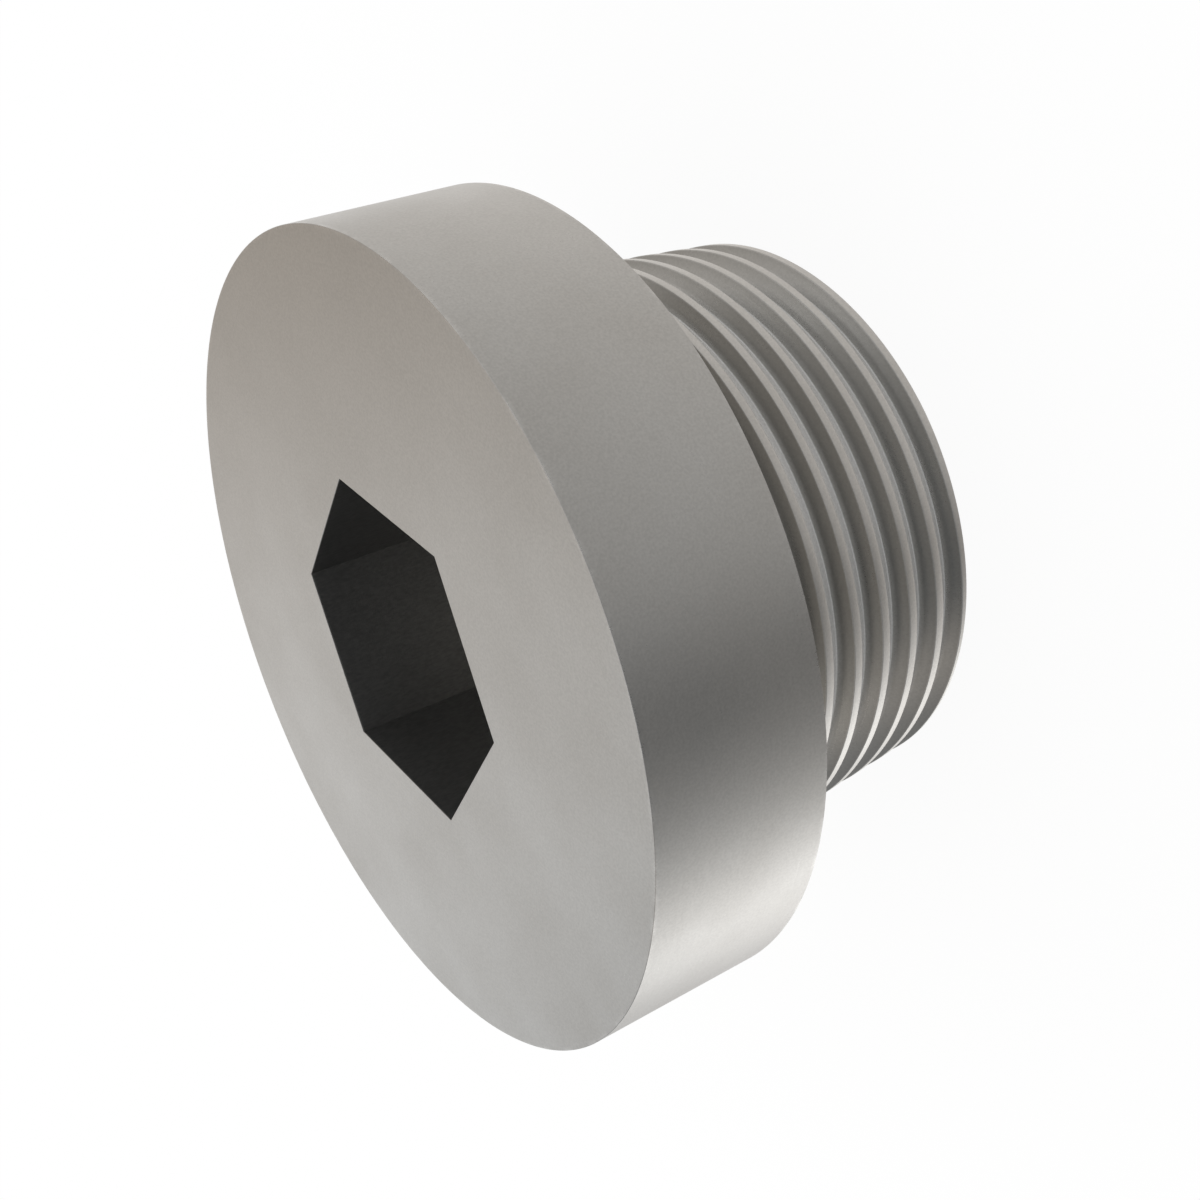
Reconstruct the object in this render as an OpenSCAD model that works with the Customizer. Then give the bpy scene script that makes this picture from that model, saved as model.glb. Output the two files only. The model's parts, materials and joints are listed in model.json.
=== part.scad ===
// Flush pipe plug: a round flange with a hexagon socket, on a tapered threaded stub.
// Millimetres. The plug stands on the end face of its stub, with the axis on Z,
// the flange on top and the socket open upwards. The thread is right-handed.

/* [Flange] */
// Diameter of the flange
flange_d = 39; // [34:0.5:60]
// Thickness of the flange
flange_t = 8.6; // [4:0.1:20]

/* [Hexagon socket] */
// Size of the key that fits the socket, across its flats
key_af = 14.3; // [8:0.1:19]
// Depth of the six flats, from the flange's face
socket_depth = 11; // [6:0.5:14]
// Angle of the drill point under the socket
drill_point_angle = 118; // [90:1:140]

/* [Threaded stub] */
// Length of the stub, from the flange to its end face
stub_l = 13.7; // [10:0.1:30]
// Diameter over the thread's crests, where the stub meets the flange
stub_d = 30.1; // [29:0.1:33]
// Diameter over the thread's crests at the end face
stub_end_d = 27.8; // [26:0.1:30]
// Width of the plain relief that clears the threading tool, next to the flange
relief_w = 2.2; // [1:0.1:4]
// How far the relief is cut below the thread's root
relief_cut = 0.15; // [0.05:0.05:0.6]

/* [Thread] */
// Number of threads in an inch
threads_per_inch = 14; // [11:1:19]
// Depth of the thread, from crest to root
thread_depth = 0.75; // [0.3:0.05:0.85]
// Width of the flat on the crest
crest_w = 0.45; // [0.15:0.05:0.5]
// Angle between the two flanks
flank_angle = 60; // [40:5:60]
// Angle round the axis where a crest is centred on the end face
thread_start = 180; // [0:1:360]

/* [Hidden] */

inch = 25.4;
pitch = inch / threads_per_inch;
steps_per_turn = 72;
plug_h = stub_l + flange_t;
threaded_h = stub_l - relief_w;

// Where the crest, flank, root and flank of one thread lie along the axis
flank_w = thread_depth * tan(flank_angle / 2);
crest_lo = -crest_w / 2;
crest_hi = crest_w / 2;
root_lo = crest_hi + flank_w;
root_hi = pitch + crest_lo - flank_w;
profile_z = [crest_lo, crest_hi, root_lo, root_hi];
profile_cut = [0, 0, thread_depth, thread_depth];
corners = len(profile_z);

// The sweep starts and ends more than a turn outside the threaded length
spare_turns = 2;
sweep_steps = ceil((threaded_h / pitch + 2 * spare_turns) * steps_per_turn);
sweep_z = -spare_turns * pitch;

relief_r = crest_r(threaded_h) - thread_depth - relief_cut;
overlap = 1;
clear = 1;

// Radius over the crests at a height above the end face
function crest_r(z) = (stub_end_d + (stub_d - stub_end_d) * z / stub_l) / 2;

// Corner number c of the thread's profile, after step i of the sweep
function sweep_height(i, c) = sweep_z + pitch * i / steps_per_turn + profile_z[c];
function sweep_angle(i) = thread_start + 360 * i / steps_per_turn;
function sweep_point(i, c) =
    let (z = sweep_height(i, c), r = crest_r(z) - profile_cut[c], a = sweep_angle(i))
    [r * cos(a), r * sin(a), z];
function at(i, c) = i * corners + c;

// A solid screw: the profile's corners swept along the helix, each turn joined to the next
module screw() {
    last = sweep_steps;
    turn = steps_per_turn;
    points = [
        for (i = [0:last]) for (c = [0:corners - 1]) sweep_point(i, c),
        [0, 0, sweep_height(0, 0)],
        [0, 0, sweep_height(last, corners - 1)]
    ];
    low_centre = at(last + 1, 0);
    high_centre = low_centre + 1;
    along = [for (i = [0:last - 1]) for (c = [0:corners - 2])
        [at(i, c), at(i, c + 1), at(i + 1, c + 1), at(i + 1, c)]];
    between_turns = [for (i = [0:last - turn - 1])
        [at(i, corners - 1), at(i + turn, 0), at(i + turn + 1, 0), at(i + 1, corners - 1)]];
    low_end = concat(
        [for (i = [0:turn - 1]) [low_centre, at(i, 0), at(i + 1, 0)]],
        [for (c = [0:corners - 2]) [low_centre, at(0, c + 1), at(0, c)]],
        [[low_centre, at(turn, 0), at(0, corners - 1)]]
    );
    high_end = concat(
        [for (i = [last - turn:last - 1])
            [high_centre, at(i + 1, corners - 1), at(i, corners - 1)]],
        [for (c = [0:corners - 2]) [high_centre, at(last, c), at(last, c + 1)]],
        [[high_centre, at(last - turn, corners - 1), at(last, 0)]]
    );
    polyhedron(points, concat(along, between_turns, low_end, high_end), convexity = 10);
}

// The thread between the end face and the relief
module thread() {
    intersection() {
        screw();
        cylinder(h = threaded_h, r = stub_d / 2 + clear);
    }
}

// The plain neck that joins the thread to the flange
module relief() {
    translate([0, 0, threaded_h - overlap])
    cylinder(h = relief_w + 2 * overlap, r = relief_r, $fn = 96);
}

module flange() {
    translate([0, 0, stub_l])
    cylinder(h = flange_t, r = flange_d / 2, $fn = 180);
}

// Six flats with a corner on +X, over the point of the drill that opened the socket
module socket() {
    flats_r = key_af / 2 / cos(30);
    point_h = key_af / 2 / tan(drill_point_angle / 2);
    translate([0, 0, plug_h - socket_depth])
    cylinder(h = socket_depth + clear, r = flats_r, $fn = 6);
    translate([0, 0, plug_h - socket_depth - point_h])
    cylinder(h = point_h, r1 = 0, r2 = key_af / 2, $fn = 96);
}

module plug() {
    color([0.64, 0.62, 0.59])
    difference() {
        union() {
            thread();
            relief();
            flange();
        }
        socket();
    }
}

plug();
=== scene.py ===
import json
import math

import bmesh
import bpy
from mathutils import Matrix, Vector


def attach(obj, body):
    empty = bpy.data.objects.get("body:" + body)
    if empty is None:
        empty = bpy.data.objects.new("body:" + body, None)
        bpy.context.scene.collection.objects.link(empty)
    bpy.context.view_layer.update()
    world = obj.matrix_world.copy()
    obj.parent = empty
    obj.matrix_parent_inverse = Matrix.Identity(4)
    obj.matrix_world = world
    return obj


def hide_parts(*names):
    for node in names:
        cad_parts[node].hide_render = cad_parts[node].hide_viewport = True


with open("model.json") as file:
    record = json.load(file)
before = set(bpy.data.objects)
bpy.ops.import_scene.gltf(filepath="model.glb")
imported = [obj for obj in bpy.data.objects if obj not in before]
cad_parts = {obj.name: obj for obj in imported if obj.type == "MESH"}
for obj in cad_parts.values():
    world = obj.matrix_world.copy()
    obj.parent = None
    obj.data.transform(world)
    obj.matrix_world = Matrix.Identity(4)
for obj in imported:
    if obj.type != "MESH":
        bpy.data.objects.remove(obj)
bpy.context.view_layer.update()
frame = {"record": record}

MM = 0.001

scene = bpy.context.scene
scene.view_settings.view_transform = "Standard"

# The frame gives the flange and the stub's length. Lengths are in millimetres from here on.
MOUNTS = {mount["name"]: mount for mount in frame["record"]["mounts"]}
FLANGE_R = MOUNTS["flange_rim"]["dims"]["r_mm"]
FLANGE_T = MOUNTS["flange_rim"]["dims"]["length_mm"]
STUB_L = MOUNTS["flange_seat"]["pos_m"][2] / MM
PLUG_H = STUB_L + FLANGE_T

# Hexagon socket
KEY_AF = 14.3
KEY_SIDES = 6
SOCKET_DEPTH = 11.0
DRILL_POINT = math.radians(118.0)

# Threaded stub
CREST_D = 30.1
CREST_END_D = 27.8
INCH = 25.4
THREADS_PER_INCH = 14
PITCH = INCH / THREADS_PER_INCH
THREAD_DEPTH = 0.75
CREST_W = 0.45
FLANK_HALF_ANGLE = math.radians(30.0)
THREAD_START = math.radians(180.0)
RELIEF_W = 2.2
RELIEF_CUT = 0.15
THREADED_H = STUB_L - RELIEF_W

# Edges that a lathe tool leaves, too small for the construction model
CREST_ROUND = 0.04
ROOT_ROUND = 0.08
EDGE_BREAK = 0.02
SHOULDER_ROUND = 0.3

# How far one solid reaches into the next, or past the metal that it cuts
NECK_OVERLAP = 1.0
SOCKET_CLEAR = 1.0
DRILL_CLEAR = 0.5

# How finely the mesh follows circles and small rounds, and the angle from which an edge looks sharp
STEPS_PER_TURN = 240
ROUND_STEPS = 4
SMOOTH_ANGLE = math.radians(30.0)

# How many turns the thread is swept past each end, and how near a point has to be to lie on a cut
SPARE_TURNS = 2
TRIM_TOLERANCE = 1e-6

# Camera: where it stands, the point that it looks at, its roll, its lens and sensor, and the
# nearest and farthest that it sees
CAMERA_AT = Vector((-56.334, -43.604, 51.449))
CAMERA_AIM = Vector((-0.458, 1.157, 11.15))
CAMERA_ROLL = math.radians(-111.415)
CAMERA_LENS = 50.24
CAMERA_SENSOR = 36.0
CAMERA_CLIP = (1.0, 10000.0)

# Floor: half its side, and the share of its white that the plug can shade
FLOOR_HALF = 3000.0
FLOOR_SHADE = 0.08

# Colours, as linear red, green, blue and alpha. The tints go over the steel one after another, each
# as far as the mask of its name says. All but the worn edge are painted shade or painted light.
WHITE = (1, 1, 1, 1)
CLEAN_STEEL = (0.495, 0.485, 0.465, 1)
CLOUDED_STEEL = (0.480, 0.467, 0.444, 1)
TINTS = {
    # painted shade: darkens the socket's walls, as shade in a hollow would
    "painted socket shade": (0.19, 0.188, 0.185, 1),
    # painted shade: darkens the thread's flanks, most just below the crests
    "painted flank shade": (0.32, 0.31, 0.29, 1),
    # painted light: lightens the thread's roots and the feet of the flanks, as if no shade fell in them
    "painted root light": (0.70, 0.69, 0.67, 1),
    "worn edge": (0.62, 0.61, 0.59, 1),
}

# Where each finish of the steel is, painted shade and painted light among them, and how strong. Each
# pair is a place and the strength there, and the strength changes evenly from one pair to the next. A
# depth is below the thread's crests, and a distance is from the flange's edges. Of the wear there,
# WORN_EDGE is how much its tint shows.
SOCKET_BY_RADIUS = ((8.30, 1), (8.35, 0))
SOCKET_BY_HEIGHT = ((1.0, 0), (2.0, 1), (PLUG_H - 0.10, 1), (PLUG_H - 0.02, 0))
# How strong the painted shade in the socket is, from deep inside up to its mouth
SOCKET_SHADE_BY_HEIGHT = ((PLUG_H - 8.0, 0.3), (PLUG_H - 0.5, 0.95))
STUB_BY_RADIUS = ((11.0, 0), (11.5, 1))
STUB_BY_HEIGHT = ((0.01, 0), (0.03, 1), (STUB_L - 0.15, 1), (STUB_L - 0.05, 0))
# How strong the painted shade on the flanks is, by depth below the crests
FLANK_SHADE_BY_DEPTH = ((0.01, 0), (0.06, 0.80), (0.10, 0.80), (0.50, 0.42), (0.72, 0))
# How strong the painted light is at the flanks' feet and in the roots, by depth below the crests
FLANK_FOOT_LIGHT_BY_DEPTH = ((0.50, 0), (0.72, 0.6))
ROOT_LIGHT_BY_DEPTH = ((0.50, 0), (0.65, 1))
WEAR_BY_DISTANCE = ((0.04, 1), (0.22, 0))
WORN_EDGE = 0.4

# A normal's lean is 0 across the plug's axis and 1 along it. The thread's surface starts to count
# as a flank at the first of these and fully does from the second.
FLANK_LEAN = (0.3, 0.6)

# Noise textures: scale in a metre, detail and roughness
GRAIN = (20000.0, 1.0, 0.5)
SPARKLE = (9000.0, 1.0, 0.5)
TOOL_MARKS = (9000.0, 2.0, 0.5)
CLOUD = (140.0, 3.0, 0.6)
WEAR_PATCHES = (1100.0, 3.0, 0.5)

# The values of the noise where its effect starts and where it is full
NOISE_SPAN = (0.3, 0.7)
CLOUD_SPAN = (0.35, 0.65)
PATCH_SPAN = (0.45, 0.62)

# Roughness over the clouds, how far grain and tool marks swing it either way, and what the finishes
# add to it and to the metallic share
ROUGHNESS = (0.31, 0.37)
GRAIN_ROUGHNESS = 0.03
MARKS_ROUGHNESS = 0.015
ROUGHNESS_CHANGES = {"socket": 0.08, "flank": -0.03, "wear": -0.06}
# Less metal in the roots lets the white world light their colour, which adds to the painted light there
METALLIC_CHANGES = {"socket": -0.06, "painted root light": -0.22}

# How far the sparkle swings the colour, how deep the relief is, and how the tool marks count in it
# against the grain
SPECKLE = 0.055
RELIEF_DEPTH = 0.001
MARKS_RELIEF = 0.4

# In the socket, heights are multiplied by the first of these, which draws the grain out along the
# axis, and the speckle and the relief are as many times stronger as the others say
SOCKET_SQUEEZE = 0.35
SOCKET_SPECKLE = 2.0
SOCKET_RELIEF = 2.5

# The grey room that the metal mirrors: its strength and its warmth
ROOM_LIGHT = (0.30, -0.05)

# Soft cards in that room, named for what they do. Each has its azimuth and elevation in degrees,
# its tightness (a higher number is a smaller card), its strength and its warmth. A strength below 0
# makes a dark flag. A warmth above 0 adds red and takes blue away.
CARDS = {
    "bright band on the rim": (105, -35, 17, 1.40, 0.00),
    "dark band on the rim": (175, -35, 14, -0.35, 0.00),
    "card for the face": (30, 10, 8, 1.40, -0.03),
    "flag that evens the face": (20, 20, 13, -1.25, -0.07),
    "card under the upper rim": (-5, -75, 3, 1.50, 0.08),
    "flag for the thread's flanks": (-10, -75, 11, -1.90, 0.08),
    "warm side of the room": (-10, 45, 4, 0.50, 0.08),
    "card for the lower flanks": (120, 35, 40, 0.50, 0.12),
    "flag for the middle flanks": (155, 70, 11, -0.40, 0.00),
    "fill from behind": (190, 40, 9, 0.30, 0.00),
    "fill from the side": (-90, 35, 8, 0.30, 0.00),
    "fill from above": (-50, 75, 11, 0.30, 0.00),
}


def crest_radius(z):
    """The radius over the crests at a height above the end face."""
    return (CREST_END_D + (CREST_D - CREST_END_D) * z / STUB_L) / 2


def rounded(corners, period, radii):
    """The corners (along the axis, cut into the metal) of one thread, each rounded by a short curve."""
    count = len(corners)
    points = []
    for i, corner in enumerate(corners):
        here = Vector(corner)
        before = Vector(corners[i - 1]) - Vector((period if i == 0 else 0, 0))
        after = Vector(corners[(i + 1) % count]) + Vector((period if i == count - 1 else 0, 0))
        back, ahead = (before - here).normalized(), (after - here).normalized()
        reach = radii[i] * math.tan((math.pi - back.angle(ahead)) / 2)
        start, end = here + back * reach, here + ahead * reach
        for step in range(ROUND_STEPS + 1):
            s = step / ROUND_STEPS
            points.append(start * (1 - s) ** 2 + here * 2 * s * (1 - s) + end * s ** 2)
    return points


def thread_profile():
    flank_w = THREAD_DEPTH * math.tan(FLANK_HALF_ANGLE)
    half = CREST_W / 2
    corners = [
        (-half, 0),
        (half, 0),
        (half + flank_w, THREAD_DEPTH),
        (PITCH - half - flank_w, THREAD_DEPTH),
    ]
    return rounded(corners, PITCH, [CREST_ROUND, CREST_ROUND, ROOT_ROUND, ROOT_ROUND])


def add_vertex(bm, r, angle, z):
    return bm.verts.new((r * math.cos(angle) * MM, r * math.sin(angle) * MM, z * MM))


def sweep_thread(bm, steps):
    """The profile's points at each step of a right-handed helix that tapers with the crests."""
    profile = thread_profile()
    rows = []
    for i in range(steps + 1):
        turn = i / STEPS_PER_TURN
        angle = THREAD_START + 2 * math.pi * turn
        row = []
        for along, cut in profile:
            z = (turn - SPARE_TURNS) * PITCH + along
            row.append(add_vertex(bm, crest_radius(z) - cut, angle, z))
        rows.append(row)
    return rows


def trim(bm, height, outward):
    """Cuts away what lies above a height, or below it where outward is -1, and closes the cut."""
    cut = bmesh.ops.bisect_plane(
        bm,
        geom=bm.verts[:] + bm.edges[:] + bm.faces[:],
        dist=TRIM_TOLERANCE * MM,
        plane_co=(0, 0, height * MM),
        plane_no=(0, 0, outward),
        clear_outer=True,
    )
    rim = [e for e in cut["geom_cut"] if isinstance(e, bmesh.types.BMEdge)]
    bmesh.ops.holes_fill(bm, edges=rim, sides=0)


def add_screw(bm):
    """A solid screw: the thread is swept past both its ends, each turn joined to the next, and trimmed."""
    steps = math.ceil((THREADED_H / PITCH + 2 * SPARE_TURNS) * STEPS_PER_TURN)
    rows = sweep_thread(bm, steps)
    low = bm.verts.new((0, 0, rows[0][0].co.z))
    high = bm.verts.new((0, 0, rows[-1][-1].co.z))
    for i in range(steps):
        this, following = rows[i], rows[i + 1]
        for c in range(len(this) - 1):
            bm.faces.new((this[c], following[c], following[c + 1], this[c + 1]))
        if i < steps - STEPS_PER_TURN:
            above, above_next = rows[i + STEPS_PER_TURN][0], rows[i + STEPS_PER_TURN + 1][0]
            bm.faces.new((this[-1], following[-1], above_next, above))
        if i < STEPS_PER_TURN:
            bm.faces.new((low, following[0], this[0]))
        if i >= steps - STEPS_PER_TURN:
            bm.faces.new((high, this[-1], following[-1]))
    first_wall = rows[0] + [rows[STEPS_PER_TURN][0]]
    last_wall = [rows[steps - STEPS_PER_TURN][-1]] + rows[-1]
    for lower, upper in zip(first_wall, first_wall[1:]):
        bm.faces.new((low, lower, upper))
    for lower, upper in zip(last_wall, last_wall[1:]):
        bm.faces.new((high, upper, lower))
    trim(bm, 0, -1)
    trim(bm, THREADED_H, 1)


def add_lathed(bm, outline, steps):
    """Turns an outline of (radius, height) points, whose ends lie on the axis, into a closed solid."""
    bottom = bm.verts.new((0, 0, outline[0][1] * MM))
    top = bm.verts.new((0, 0, outline[-1][1] * MM))
    rings = []
    for r, z in outline[1:-1]:
        rings.append([add_vertex(bm, r, 2 * math.pi * i / steps, z) for i in range(steps)])
    for i in range(steps):
        j = (i + 1) % steps
        bm.faces.new((bottom, rings[0][j], rings[0][i]))
        bm.faces.new((top, rings[-1][i], rings[-1][j]))
        for lower, upper in zip(rings, rings[1:]):
            bm.faces.new((lower[i], lower[j], upper[j], upper[i]))


def head_outline():
    """The neck and the flange, from the axis inside the thread to the axis on the flange's face."""
    neck_r = crest_radius(THREADED_H) - THREAD_DEPTH - RELIEF_CUT
    neck_low = THREADED_H - NECK_OVERLAP
    outline = [(0, neck_low), (neck_r, neck_low)]
    for step in range(ROUND_STEPS + 1):
        a = math.pi / 2 * step / ROUND_STEPS
        r = neck_r + SHOULDER_ROUND * (1 - math.cos(a))
        z = STUB_L - SHOULDER_ROUND * (1 - math.sin(a))
        outline.append((r, z))
    outline += [
        (FLANGE_R - EDGE_BREAK, STUB_L),
        (FLANGE_R, STUB_L + EDGE_BREAK),
        (FLANGE_R, PLUG_H - EDGE_BREAK),
        (FLANGE_R - EDGE_BREAK, PLUG_H),
        (0, PLUG_H),
    ]
    return outline


def broach_outline():
    """What cuts the hexagon socket, once it is turned in six steps. It breaks the mouth's edge too."""
    corner_r = KEY_AF / 2 / math.cos(math.pi / KEY_SIDES)
    return [
        (0, PLUG_H - SOCKET_DEPTH),
        (corner_r, PLUG_H - SOCKET_DEPTH),
        (corner_r, PLUG_H - EDGE_BREAK),
        (corner_r + EDGE_BREAK + SOCKET_CLEAR, PLUG_H + SOCKET_CLEAR),
        (0, PLUG_H + SOCKET_CLEAR),
    ]


def drill_outline():
    """What cuts the cone that a drill's point leaves under the socket."""
    r = KEY_AF / 2
    point = r / math.tan(DRILL_POINT / 2)
    floor_z = PLUG_H - SOCKET_DEPTH
    return [(0, floor_z - point), (r, floor_z), (r, floor_z + DRILL_CLEAR), (0, floor_z + DRILL_CLEAR)]


def mesh_object(name, build):
    bm = bmesh.new()
    build(bm)
    bmesh.ops.recalc_face_normals(bm, faces=bm.faces[:])
    mesh = bpy.data.meshes.new(name)
    bm.to_mesh(mesh)
    bm.free()
    made = bpy.data.objects.new(name, mesh)
    scene.collection.objects.link(made)
    return made


def combine(target, tool, operation):
    """Joins the tool to the target or cuts it away, and removes the tool."""
    modifier = target.modifiers.new("cut", "BOOLEAN")
    modifier.operation = operation
    modifier.solver = "EXACT"
    modifier.object = tool
    graph = bpy.context.evaluated_depsgraph_get()
    result = bpy.data.meshes.new_from_object(target.evaluated_get(graph))
    target.modifiers.clear()
    target.data = result
    bpy.data.objects.remove(tool)


def add_plug():
    plug = mesh_object("turned_plug", add_screw)
    head = mesh_object("head", lambda bm: add_lathed(bm, head_outline(), STEPS_PER_TURN))
    drill = mesh_object("drill", lambda bm: add_lathed(bm, drill_outline(), STEPS_PER_TURN))
    broach = mesh_object("broach", lambda bm: add_lathed(bm, broach_outline(), KEY_SIDES))
    combine(plug, head, "UNION")
    combine(plug, drill, "DIFFERENCE")
    combine(plug, broach, "DIFFERENCE")
    for face in plug.data.polygons:
        face.use_smooth = True
    plug.data.set_sharp_from_angle(angle=SMOOTH_ANGLE)
    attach(plug, "root")
    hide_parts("plug")
    plug.data.materials.clear()
    plug.data.materials.append(steel())


def add_camera():
    data = bpy.data.cameras.new("camera")
    data.lens = CAMERA_LENS
    data.sensor_width = CAMERA_SENSOR
    data.clip_start, data.clip_end = (distance * MM for distance in CAMERA_CLIP)
    camera = bpy.data.objects.new("camera", data)
    scene.collection.objects.link(camera)
    look = (CAMERA_AIM - CAMERA_AT).to_track_quat("-Z", "Y").to_matrix().to_4x4()
    roll = Matrix.Rotation(CAMERA_ROLL, 4, "Z")
    camera.matrix_world = Matrix.Translation(CAMERA_AT * MM) @ look @ roll
    scene.camera = camera


class Nodes:
    """Adds nodes to the tree of a material or of the world. A call returns its last node's output."""

    def __init__(self, tree):
        self.tree = tree

    def add(self, kind, inputs=(), output=0, **settings):
        made = self.tree.nodes.new(kind)
        for name, value in settings.items():
            setattr(made, name, value)
        for name, value in dict(inputs).items():
            if isinstance(value, bpy.types.NodeSocket):
                self.tree.links.new(value, made.inputs[name])
            else:
                made.inputs[name].default_value = value
        return made.outputs[output]

    def math(self, operation, *values):
        return self.add("ShaderNodeMath", enumerate(values), operation=operation)

    def vector(self, operation, *values, output=0):
        return self.add("ShaderNodeVectorMath", enumerate(values), output, operation=operation)

    def product(self, first, *others):
        for other in others:
            first = self.math("MULTIPLY", first, other)
        return first

    def length(self, a, b):
        """How far a point with these two coordinates is from where both are 0."""
        squares = self.math("ADD", self.product(a, a), self.product(b, b))
        return self.math("SQRT", squares)

    def scale(self, colour, amount):
        return self.add("ShaderNodeVectorMath", {0: colour, "Scale": amount}, operation="SCALE")

    def mix_colour(self, factor, a, b):
        """The mix node's inputs 6 and 7 and its output 2 are the ones for colours."""
        sockets = {"Factor": factor, 6: a, 7: b}
        return self.add("ShaderNodeMix", sockets, 2, data_type="RGBA")

    def noise(self, where, scale, detail, roughness):
        sockets = {"Vector": where, "Scale": scale, "Detail": detail, "Roughness": roughness}
        return self.add("ShaderNodeTexNoise", sockets, "Fac")

    def noise_along(self, distance, scale, detail, roughness):
        """Noise that changes only with one distance, as a lathe tool's marks do."""
        sockets = {"W": distance, "Scale": scale, "Detail": detail, "Roughness": roughness}
        return self.add("ShaderNodeTexNoise", sockets, "Fac", noise_dimensions="1D")

    def ramp(self, value, start, end, low=0.0, high=1.0):
        sockets = {"Value": value, "From Min": start, "From Max": end, "To Min": low, "To Max": high}
        return self.add("ShaderNodeMapRange", sockets)

    def profile(self, distance, points):
        """A strength that runs straight from one (millimetres, strength) point to the next."""
        strength = points[0][1]
        for (start, low), (end, high) in zip(points, points[1:]):
            step = self.ramp(distance, start * MM, end * MM, 0.0, high - low)
            strength = self.math("ADD", strength, step)
        return strength

    def swing(self, noise, low, high):
        """Noise spread from one value to another."""
        return self.ramp(noise, *NOISE_SPAN, low, high)

    def inside(self, mask, value):
        """The value where the mask is 1, and 1 where it is 0."""
        return self.ramp(mask, 0.0, 1.0, 1.0, value)

    def changed(self, value, masks, changes):
        """A value to which each named mask adds its change."""
        for name, change in changes.items():
            value = self.math("MULTIPLY_ADD", masks[name], change, value)
        return value


def socket_masks(nodes, radius, z):
    """The whole socket, and the painted shade laid in it, which is darker towards its mouth."""
    socket = nodes.product(nodes.profile(radius, SOCKET_BY_RADIUS), nodes.profile(z, SOCKET_BY_HEIGHT))
    # painted shade in the socket, stronger towards its mouth
    return {"socket": socket, "painted socket shade": nodes.product(socket, nodes.profile(z, SOCKET_SHADE_BY_HEIGHT))}


def thread_masks(nodes, radius, z, lean):
    """The thread's flanks, the painted shade on them, and the painted light in the roots and at the
    flanks' feet.
    """
    stub = nodes.product(nodes.profile(radius, STUB_BY_RADIUS), nodes.profile(z, STUB_BY_HEIGHT))
    leaning = nodes.ramp(lean, *FLANK_LEAN)
    upright = nodes.math("SUBTRACT", 1.0, leaning)
    flank = nodes.product(stub, leaning)
    slope = (crest_radius(STUB_L) - crest_radius(0)) / STUB_L
    crest = nodes.math("MULTIPLY_ADD", z, slope, crest_radius(0) * MM)
    depth = nodes.math("SUBTRACT", crest, radius)
    # painted light in the roots and at the flanks' feet
    root_light = nodes.product(stub, upright, nodes.profile(depth, ROOT_LIGHT_BY_DEPTH))
    flank_foot_light = nodes.product(flank, nodes.profile(depth, FLANK_FOOT_LIGHT_BY_DEPTH))
    return {
        "flank": flank,
        # painted shade on the flanks
        "painted flank shade": nodes.product(flank, nodes.profile(depth, FLANK_SHADE_BY_DEPTH)),
        "painted root light": nodes.math("MAXIMUM", root_light, flank_foot_light),
    }


def wear_masks(nodes, where, radius, z):
    """Patches along the flange's two edges."""
    from_rim = nodes.math("SUBTRACT", FLANGE_R * MM, radius)
    edges = []
    for height in (STUB_L, PLUG_H):
        from_face = nodes.math("SUBTRACT", z, height * MM)
        edges.append(nodes.profile(nodes.length(from_rim, from_face), WEAR_BY_DISTANCE))
    patches = nodes.ramp(nodes.noise(where, *WEAR_PATCHES), *PATCH_SPAN)
    wear = nodes.product(nodes.math("MAXIMUM", *edges), patches)
    return {"wear": wear, "worn edge": nodes.product(wear, WORN_EDGE)}


def steel_colour(nodes, masks, cloud, sparkle):
    colour = nodes.mix_colour(nodes.ramp(cloud, *CLOUD_SPAN), CLEAN_STEEL, CLOUDED_STEEL)
    # The tints lay painted shade in the socket and on the flanks, painted light in the roots, and the worn
    # edges' own colour
    for name, tint in TINTS.items():
        colour = nodes.mix_colour(masks[name], colour, tint)
    speckle = nodes.swing(sparkle, -SPECKLE, SPECKLE)
    speckle = nodes.product(speckle, nodes.inside(masks["socket"], SOCKET_SPECKLE))
    return nodes.scale(colour, nodes.math("ADD", speckle, 1.0))


def steel_roughness(nodes, masks, cloud, grain, marks):
    roughness = nodes.swing(cloud, *ROUGHNESS)
    for texture, amount in ((grain, GRAIN_ROUGHNESS), (marks, MARKS_ROUGHNESS)):
        roughness = nodes.math("ADD", roughness, nodes.swing(texture, -amount, amount))
    return nodes.changed(roughness, masks, ROUGHNESS_CHANGES)


def steel_relief(nodes, masks, grain, marks):
    relief = nodes.math("MULTIPLY_ADD", marks, MARKS_RELIEF, grain)
    relief = nodes.product(relief, nodes.inside(masks["socket"], SOCKET_RELIEF))
    return nodes.add("ShaderNodeBump", {"Strength": 1.0, "Distance": RELIEF_DEPTH * MM, "Height": relief})


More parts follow.
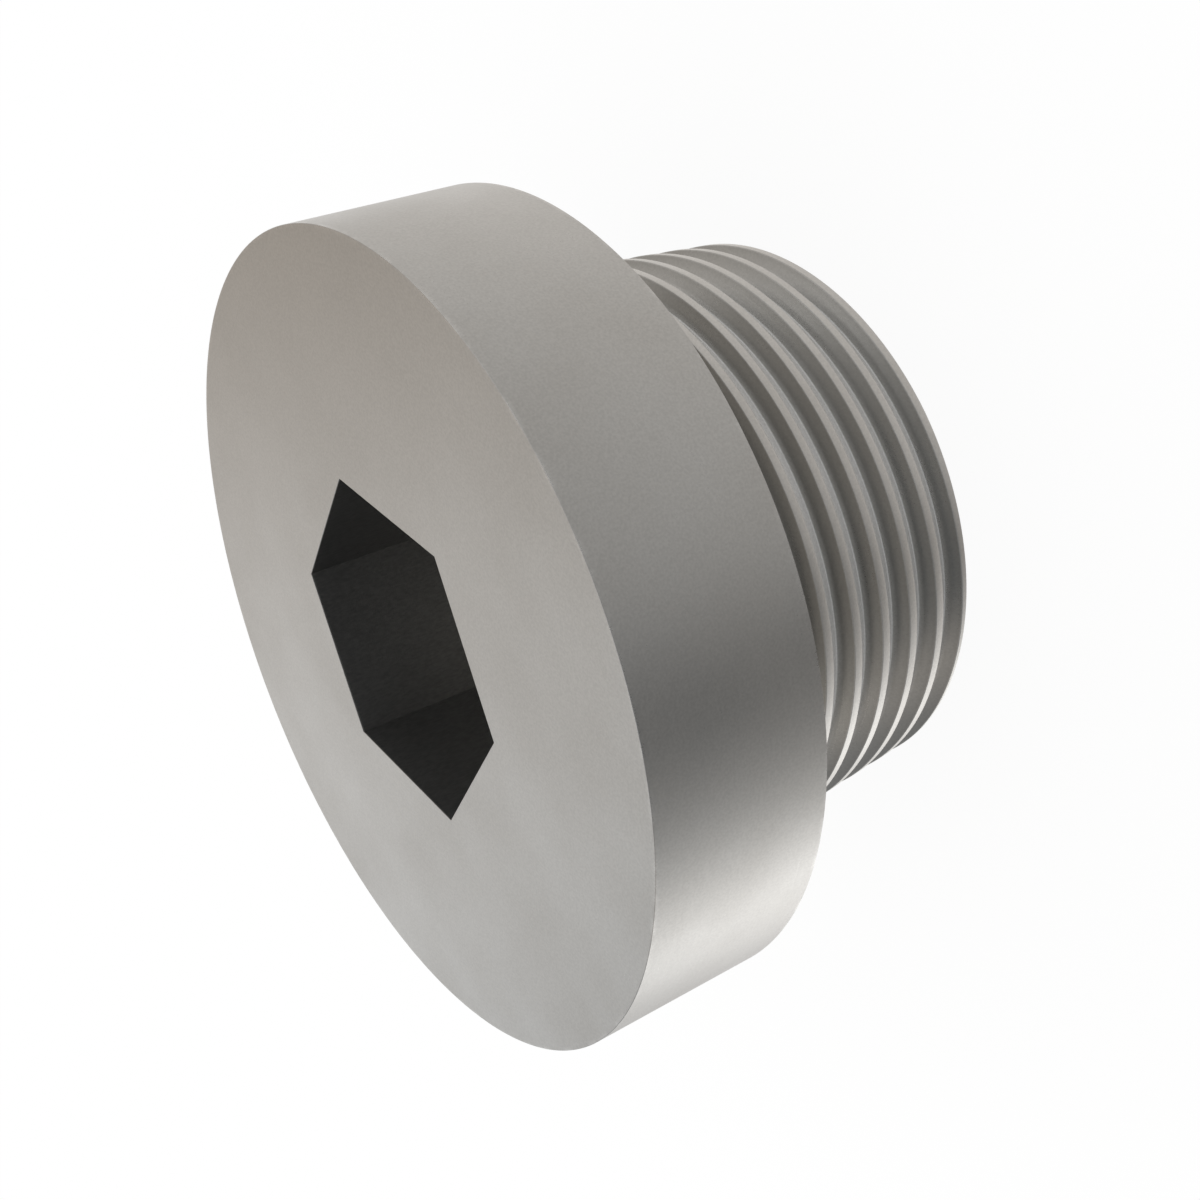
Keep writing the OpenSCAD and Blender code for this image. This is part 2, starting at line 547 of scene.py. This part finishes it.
def steel():
    """Turned steel with a satin finish and a rougher socket, with painted shade on the flanks and in the
    socket and painted light in the roots.
    """
    material = bpy.data.materials.new("satin_steel")
    material.use_nodes = True
    tree = material.node_tree
    shader = tree.nodes["Principled BSDF"]
    nodes = Nodes(tree)
    coordinates = tree.nodes.new("ShaderNodeTexCoord")
    where = coordinates.outputs["Object"]
    axes = tree.nodes.new("ShaderNodeSeparateXYZ")
    tree.links.new(where, axes.inputs[0])
    x, y, z = axes.outputs
    radius = nodes.length(x, y)
    up = nodes.vector("DOT_PRODUCT", coordinates.outputs["Normal"], (0, 0, 1), output="Value")
    lean = nodes.math("ABSOLUTE", up)

    masks = {
        **socket_masks(nodes, radius, z),
        **thread_masks(nodes, radius, z, lean),
        **wear_masks(nodes, where, radius, z),
    }

    squeeze = nodes.inside(masks["socket"], SOCKET_SQUEEZE)
    stretch = nodes.add("ShaderNodeCombineXYZ", {0: 1.0, 1: 1.0, 2: squeeze})
    stretched = nodes.vector("MULTIPLY", where, stretch)
    grain = nodes.noise(stretched, *GRAIN)
    sparkle = nodes.noise(stretched, *SPARKLE)
    cloud = nodes.noise(where, *CLOUD)
    across = nodes.add("ShaderNodeMix", {"Factor": lean, "A": z, "B": radius})
    marks = nodes.noise_along(across, *TOOL_MARKS)

    finish = {
        "Base Color": steel_colour(nodes, masks, cloud, sparkle),
        "Roughness": steel_roughness(nodes, masks, cloud, grain, marks),
        "Metallic": nodes.changed(1.0, masks, METALLIC_CHANGES),
        "Normal": steel_relief(nodes, masks, grain, marks),
    }
    for name, value in finish.items():
        tree.links.new(value, shader.inputs[name])
    return material


def white_floor():
    """Mostly its own white glow, and a small share lit by the world, which the plug can shade."""
    material = bpy.data.materials.new("white_floor")
    material.use_nodes = True
    tree = material.node_tree
    tree.nodes.clear()
    nodes = Nodes(tree)
    lit = nodes.add("ShaderNodeBsdfDiffuse", {"Color": (FLOOR_SHADE, FLOOR_SHADE, FLOOR_SHADE, 1)})
    glow = nodes.add("ShaderNodeEmission", {"Color": WHITE, "Strength": 1 - FLOOR_SHADE})
    both = nodes.add("ShaderNodeAddShader", {0: lit, 1: glow})
    output = tree.nodes.new("ShaderNodeOutputMaterial")
    tree.links.new(both, output.inputs["Surface"])
    return material


def add_square(bm):
    corners = ((-1, -1), (1, -1), (1, 1), (-1, 1))
    bm.faces.new([bm.verts.new((x * FLOOR_HALF * MM, y * FLOOR_HALF * MM, 0)) for x, y in corners])


def add_floor():
    floor = mesh_object("floor", add_square)
    floor.visible_glossy = False
    floor.data.materials.append(white_floor())


def towards(azimuth, elevation):
    """The direction that two angles in degrees give."""
    azimuth, elevation = math.radians(azimuth), math.radians(elevation)
    flat = math.cos(elevation)
    return (flat * math.cos(azimuth), flat * math.sin(azimuth), math.sin(elevation))


def light_colour(strength, warmth):
    """A grey light, with red added and blue taken away by its warmth."""
    return (strength * (1 + warmth), strength, strength * (1 - warmth))


def add_studio():
    """A white world, except in mirrors: metal mirrors a grey room with soft cards in it."""
    world = bpy.data.worlds.new("studio")
    scene.world = world
    world.use_nodes = True
    world.cycles.sampling_method = "NONE"
    tree = world.node_tree
    tree.nodes.clear()
    nodes = Nodes(tree)
    coordinates = tree.nodes.new("ShaderNodeTexCoord")
    direction = coordinates.outputs["Generated"]
    light = light_colour(*ROOM_LIGHT)
    for azimuth, elevation, tightness, strength, warmth in CARDS.values():
        facing = nodes.vector("DOT_PRODUCT", direction, towards(azimuth, elevation), output="Value")
        falloff = nodes.product(nodes.math("SUBTRACT", facing, 1.0), tightness)
        amount = nodes.math("EXPONENT", falloff)
        light = nodes.vector("ADD", light, nodes.scale(light_colour(strength, warmth), amount))
    light = nodes.vector("MAXIMUM", light, (0, 0, 0))
    path = tree.nodes.new("ShaderNodeLightPath")
    seen = nodes.mix_colour(path.outputs["Is Glossy Ray"], WHITE, light)
    background = nodes.add("ShaderNodeBackground", {"Color": seen, "Strength": 1.0})
    output = tree.nodes.new("ShaderNodeOutputWorld")
    tree.links.new(background, output.inputs["Surface"])


add_camera()
add_studio()
add_floor()
add_plug()
